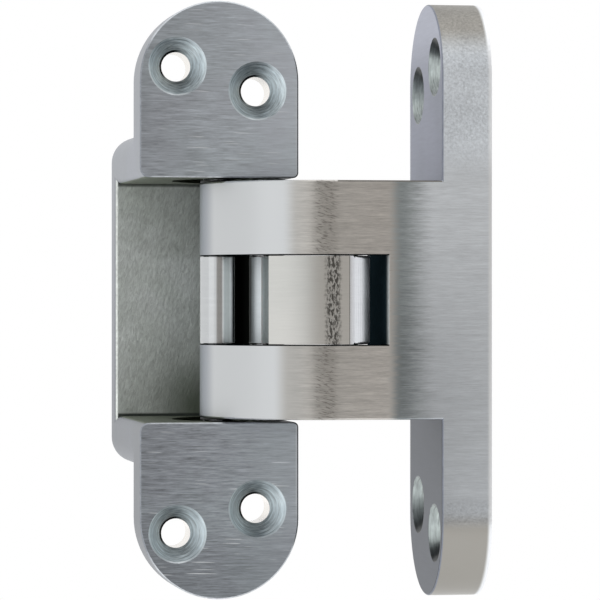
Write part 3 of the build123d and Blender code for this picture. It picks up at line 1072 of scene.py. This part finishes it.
def makeTurnedRing():
    # Rings of one section, one above the other
    tree, inputs, end = geometryTree("turnedRing", ringInputs)
    outer, bore = inputs["Outer Radius"], inputs["Bore Radius"]
    middle = times(plus(outer, bore), 0.5)
    circle = addNode(tree, "GeometryNodeCurvePrimitiveCircle", {"Resolution": 72, "Radius": middle})
    sides = {"Width": minus(outer, bore), "Height": inputs["Length"]}
    section = addNode(tree, "GeometryNodeCurvePrimitiveQuadrilateral", sides)
    rounded = {"Curve": section.outputs[0], "Radius": inputs["Rounding"], "Count": 2}
    fillet = addNode(tree, "GeometryNodeFilletCurve", rounded, mode="POLY")
    curves = {"Curve": circle.outputs[0], "Profile Curve": fillet.outputs[0]}
    swept = addNode(tree, "GeometryNodeCurveToMesh", curves)
    place = parted(inputs["Axis"])
    line = {
        "Count": inputs["Count"],
        "Start Location": joined(place["X"], place["Y"], inputs["Lowest"]),
        "Offset": joined(z=inputs["Step"]),
    }
    copies = {"Points": addNode(tree, "GeometryNodeMeshLine", line).outputs[0], "Instance": swept.outputs[0]}
    fill(end, {0: addNode(tree, "GeometryNodeInstanceOnPoints", copies).outputs[0]})
    return tree


def makeTurnedParts(name, ringTree, flanged):
    # Rings, with a flange on each where wanted, as one plain mesh in their finish
    extra = dict.fromkeys(flangeInputs.values(), "Float") if flanged else {}
    tree, sockets, end = geometryTree(name, {**ringInputs, **extra, "Finish": "Material"})
    given = {label: sockets[label] for label in ringInputs}
    shape = addNode(tree, "GeometryNodeGroup", given, node_tree=ringTree).outputs[0]
    if flanged:
        given = {label: sockets[flangeInputs.get(label, label)] for label in ringInputs}
        flange = addNode(tree, "GeometryNodeGroup", given, node_tree=ringTree).outputs[0]
        both = addNode(tree, "GeometryNodeJoinGeometry", {0: shape})
        fill(both, {0: flange})
        shape = both.outputs[0]
    plain = addNode(tree, "GeometryNodeRealizeInstances", {0: shape}).outputs[0]
    coated = addNode(tree, "GeometryNodeSetMaterial", {"Geometry": plain, "Material": sockets["Finish"]})
    fill(end, {0: coated.outputs[0]})
    return tree


ringTree = makeTurnedRing()
turnedTrees = {
    "ring": makeTurnedParts("turnedRings", ringTree, False),
    "bush": makeTurnedParts("flangedBushes", ringTree, True),
}


def turnedPiece(name, treeName, sizes, nodeNames, body):
    rough = addObject(name + "Rough", bpy.data.meshes.new(name + "Rough"))
    turning = rough.modifiers.new("turning", "NODES")
    turning.node_group = turnedTrees[treeName]
    for item in turning.node_group.interface.items_tree:
        if item.in_out == "INPUT":
            turning[item.identifier] = sizes[item.name]
    settle(finishTurned(name, frozen(rough)), nodeNames, body)


def finishTurned(name, mesh):
    shape = bmesh.new()
    shape.from_mesh(mesh)
    bmesh.ops.recalc_face_normals(shape, faces=shape.faces)
    for face in shape.faces:
        face.smooth = True
    shape.to_mesh(mesh)
    shape.free()
    mesh.set_sharp_from_angle(angle=radians(15))
    return addObject(name, mesh)


def ringSizes(nodeName, boreRadius, finishName, rounding, paired=True):
    # A ring's sizes from the box of its node, the upper one of a pair
    low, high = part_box(nodeName)
    middle = (low + high) / 2
    return {
        "Axis": (middle.x, middle.y, 0),
        "Lowest": -middle.z if paired else middle.z,
        "Step": 2 * middle.z if paired else 0.0,
        "Count": 2 if paired else 1,
        "Outer Radius": (high.x - low.x) / 2,
        "Bore Radius": boreRadius,
        "Length": high.z - low.z,
        "Rounding": rounding,
        "Finish": finishes[finishName],
    }


def pinRadius(nodeName):
    low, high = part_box(nodeName)
    return (high.x - low.x) / 2


fits = dict(seat=0.01 * mm, running=0.03 * mm, bushWall=0.6 * mm, flange=0.8 * mm, flangeOverlap=0.1 * mm)
framePinRadius, doorPinRadius, guidePinRadius = map(pinRadius, ("frame_pin", "door_pin", "guide_pin"))
for eye, radius in (("frame", framePinRadius), ("door", doorPinRadius)):
    sizes = ringSizes(f"{eye}_bush_upper", radius + fits["running"], "bronze", 0.06 * mm)
    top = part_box(f"{eye}_bush_upper")[1].z
    bushRadius = sizes["Bore Radius"] + fits["bushWall"]
    sizes["Flange Radius"] = sizes["Outer Radius"]
    sizes["Flange Bore"] = bushRadius - fits["flangeOverlap"]
    sizes["Flange Thickness"] = fits["flange"]
    sizes["Flange Lowest"] = fits["flange"] / 2 - top
    sizes["Flange Step"] = 2 * top - fits["flange"]
    sizes["Outer Radius"] = bushRadius
    bushes = [f"{eye}_bush_upper", f"{eye}_bush_lower"]
    turnedPiece(f"{eye}Bushes", "bush", sizes, bushes, "link")
spacers = ringSizes("frame_spacer_upper", framePinRadius + fits["seat"], "brightSteel", 0.15 * mm)
turnedPiece("frameSpacers", "ring", spacers, ["frame_spacer_upper", "frame_spacer_lower"], "frame")
washers = ringSizes("glide_washer_upper", guidePinRadius + fits["seat"], "glide", 0.08 * mm)
turnedPiece("glideWashers", "ring", washers, ["glide_washer_upper", "glide_washer_lower"], "door")
sleeve = ringSizes("guide_sleeve", guidePinRadius + fits["seat"], "sleeveSteel", 0.1 * mm, paired=False)
turnedPiece("guideSleeve", "ring", sleeve, ["guide_sleeve"], "door")
for level in ("upper", "lower"):
    node = f"guide_roller_{level}"
    roller = ringSizes(node, guidePinRadius + fits["running"], "brightSteel", 0.25 * mm, paired=False)
    turnedPiece(f"{level}Roller", "ring", roller, [node], f"roller_{level}")
print("stage: bushes, spacers, washers, sleeve and rollers")


pinEnds = dict(chamfer=0.35 * mm, crown=0.12 * mm, steps=64)
pinBodies = {"frame_pin": "frame", "door_pin": "door", "guide_pin": "door"}


def turnedPin(name, nodeName, ends):
    # A straight pin with chamfered, slightly crowned ends
    low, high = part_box(nodeName)
    middle = (low + high) / 2
    radius = pinRadius(nodeName)
    rim = high.z - ends["crown"]
    outline = [
        (0, high.z),
        (radius * 0.5, high.z - ends["crown"] * 0.3),
        (radius - ends["chamfer"], rim),
        (radius, rim - ends["chamfer"]),
    ]
    outline += [(across, -height) for across, height in reversed(outline)]
    shape = bmesh.new()
    rings = []
    for across, height in outline:
        turns = [2 * pi * step / ends["steps"] for step in range(ends["steps"] if across else 1)]
        spots = [(middle.x + across * cos(turn), middle.y + across * sin(turn), height) for turn in turns]
        rings.append([shape.verts.new(spot) for spot in spots])
    for upper, lower in zip(rings, rings[1:]):
        for step in range(ends["steps"]):
            face = [upper[step % len(upper)], upper[(step + 1) % len(upper)]]
            face += [lower[(step + 1) % len(lower)], lower[step % len(lower)]]
            shape.faces.new(dict.fromkeys(face))
    mesh = bpy.data.meshes.new(name)
    shape.to_mesh(mesh)
    shape.free()
    mesh.materials.append(finishes["brightSteel"])
    return finishTurned(name, mesh)


for pin, body in pinBodies.items():
    settle(turnedPin(pin.replace("_pin", "Pin"), pin, pinEnds), [pin], body)
print("stage: pins")
